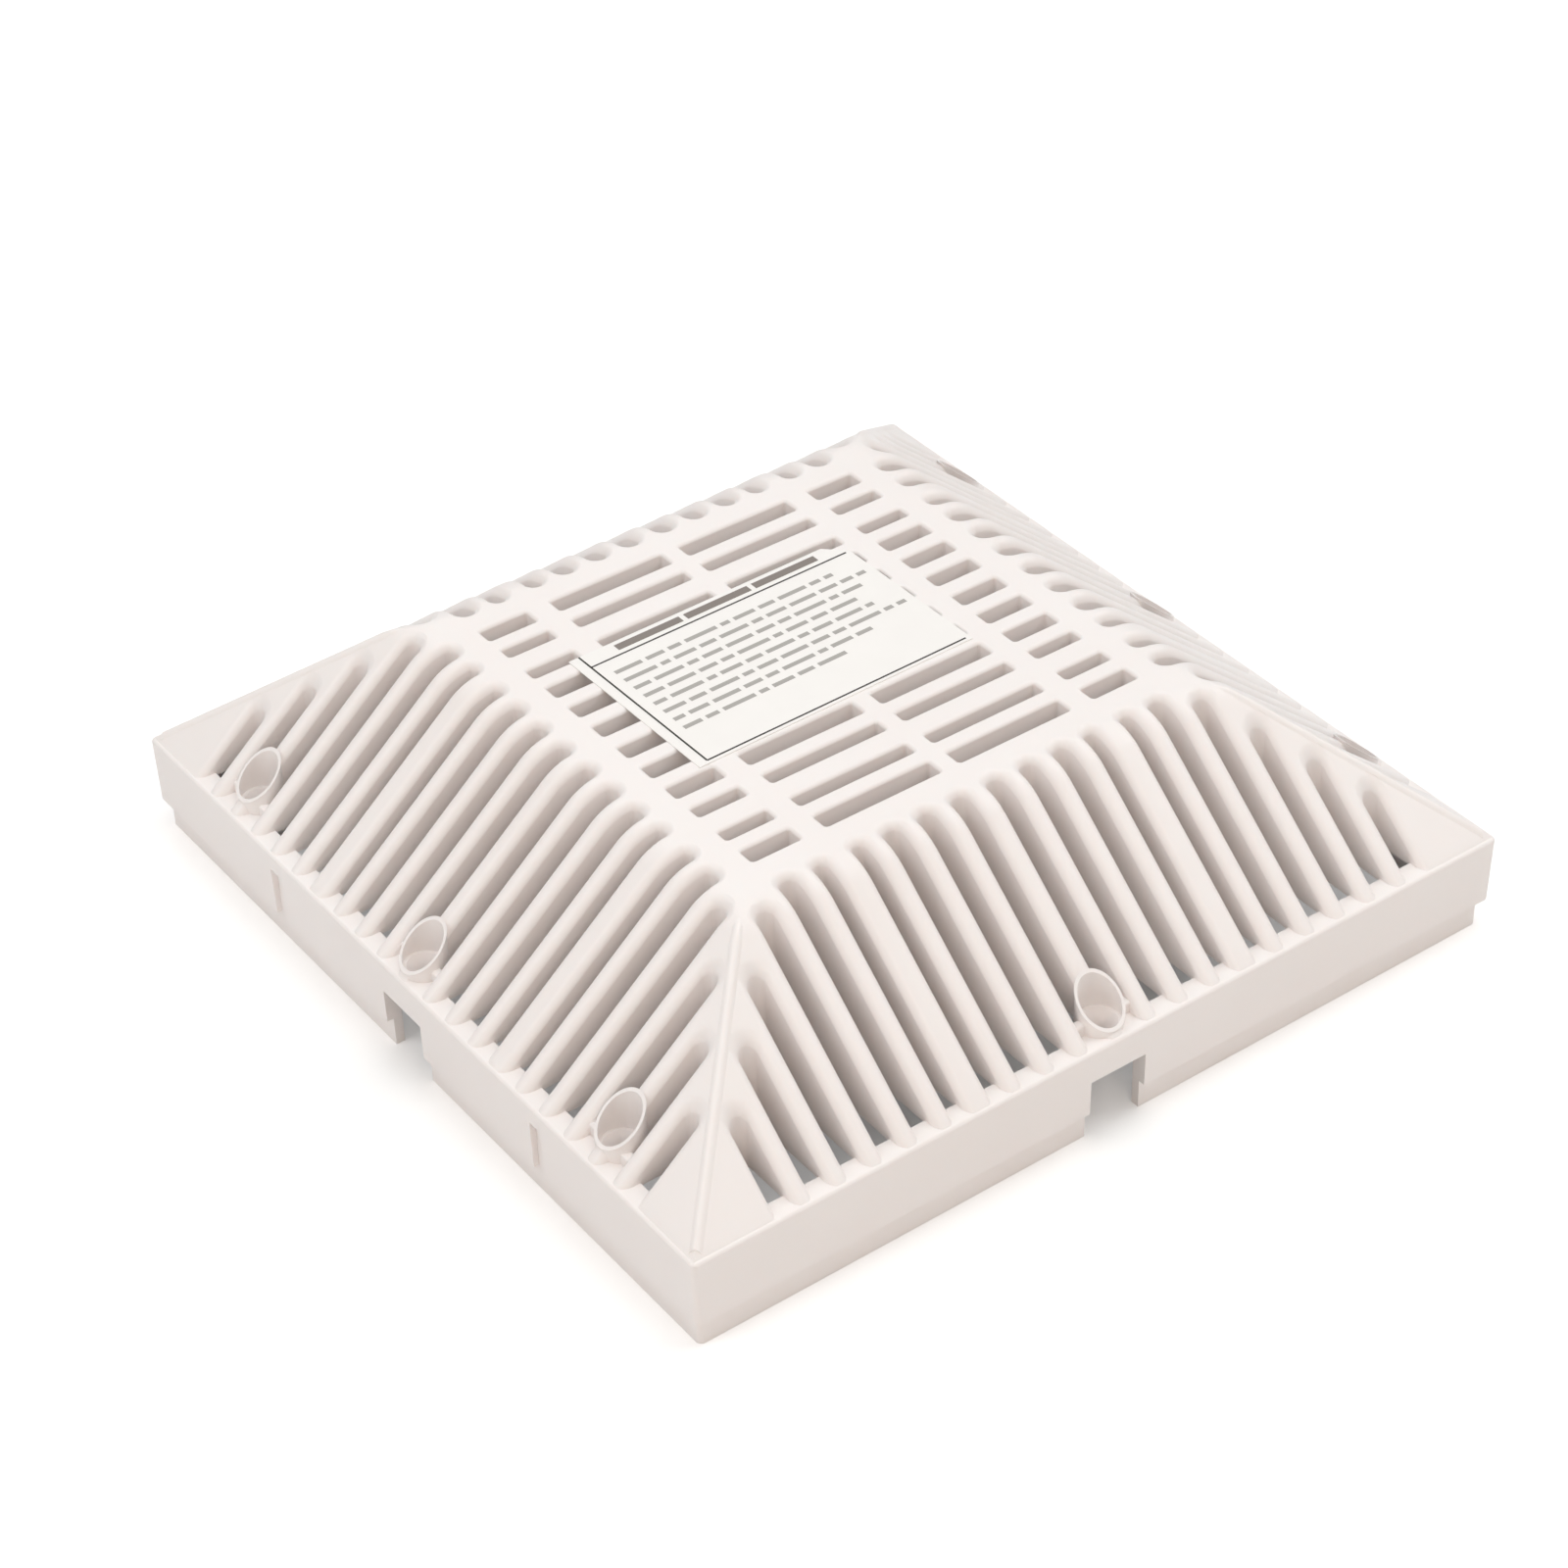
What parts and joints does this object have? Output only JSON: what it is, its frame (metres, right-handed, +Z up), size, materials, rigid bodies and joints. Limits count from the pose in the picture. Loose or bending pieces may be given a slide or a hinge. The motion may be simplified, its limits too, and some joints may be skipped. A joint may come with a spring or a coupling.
{
  "type": "pool drain grate",
  "caption": "Square domed drain grate of white plastic: slotted sloping sides, slotted flat top, upright skirt with notches, and tubes for its screws.",
  "frame": {"origin": "centre of the grate, on the plane that its skirt stands on", "axes": "+Z up out of the drain, +X and +Y square to the sides; the slots of the flat top run along X"},
  "size_m": [0.2286, 0.2286, 0.0649],
  "materials": {
    "plastic": "glossy white moulded plastic",
    "label": "satin white label"
  },
  "bodies": {
    "root": {"grate": "plastic", "label": "label"}
  },
  "joints": []
}
